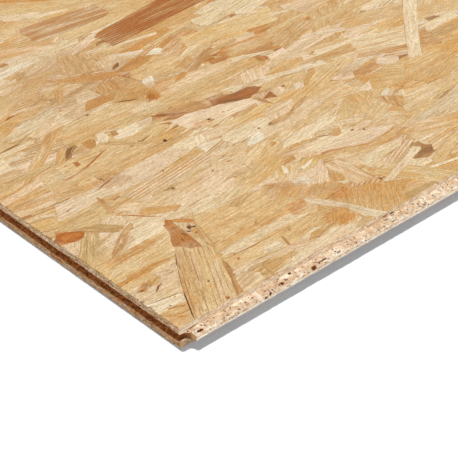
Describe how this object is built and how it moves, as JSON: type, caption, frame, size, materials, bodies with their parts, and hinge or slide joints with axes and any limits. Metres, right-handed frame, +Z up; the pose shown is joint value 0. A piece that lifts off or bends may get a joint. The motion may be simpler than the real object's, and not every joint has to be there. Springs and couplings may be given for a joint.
{
  "type": "tongue and groove osb panel",
  "caption": "Oriented strand board flooring panel with a tongue on one long edge and one end, and the matching groove on the edges opposite.",
  "frame": {"origin": "middle of the panel's bottom face, with the tongues counted in", "axes": "+X along the panel and its surface strands, from the grooved end to the tongued end; +Y from the long tongue to the long groove; +Z up out of the walked face"},
  "size_m": [2.058, 0.683, 0.018],
  "materials": {
    "strand_board": "pressed wood strands, lightly sanded, with sealed resin sheen"
  },
  "bodies": {
    "root": {"osb_panel": "strand_board"}
  },
  "joints": []
}
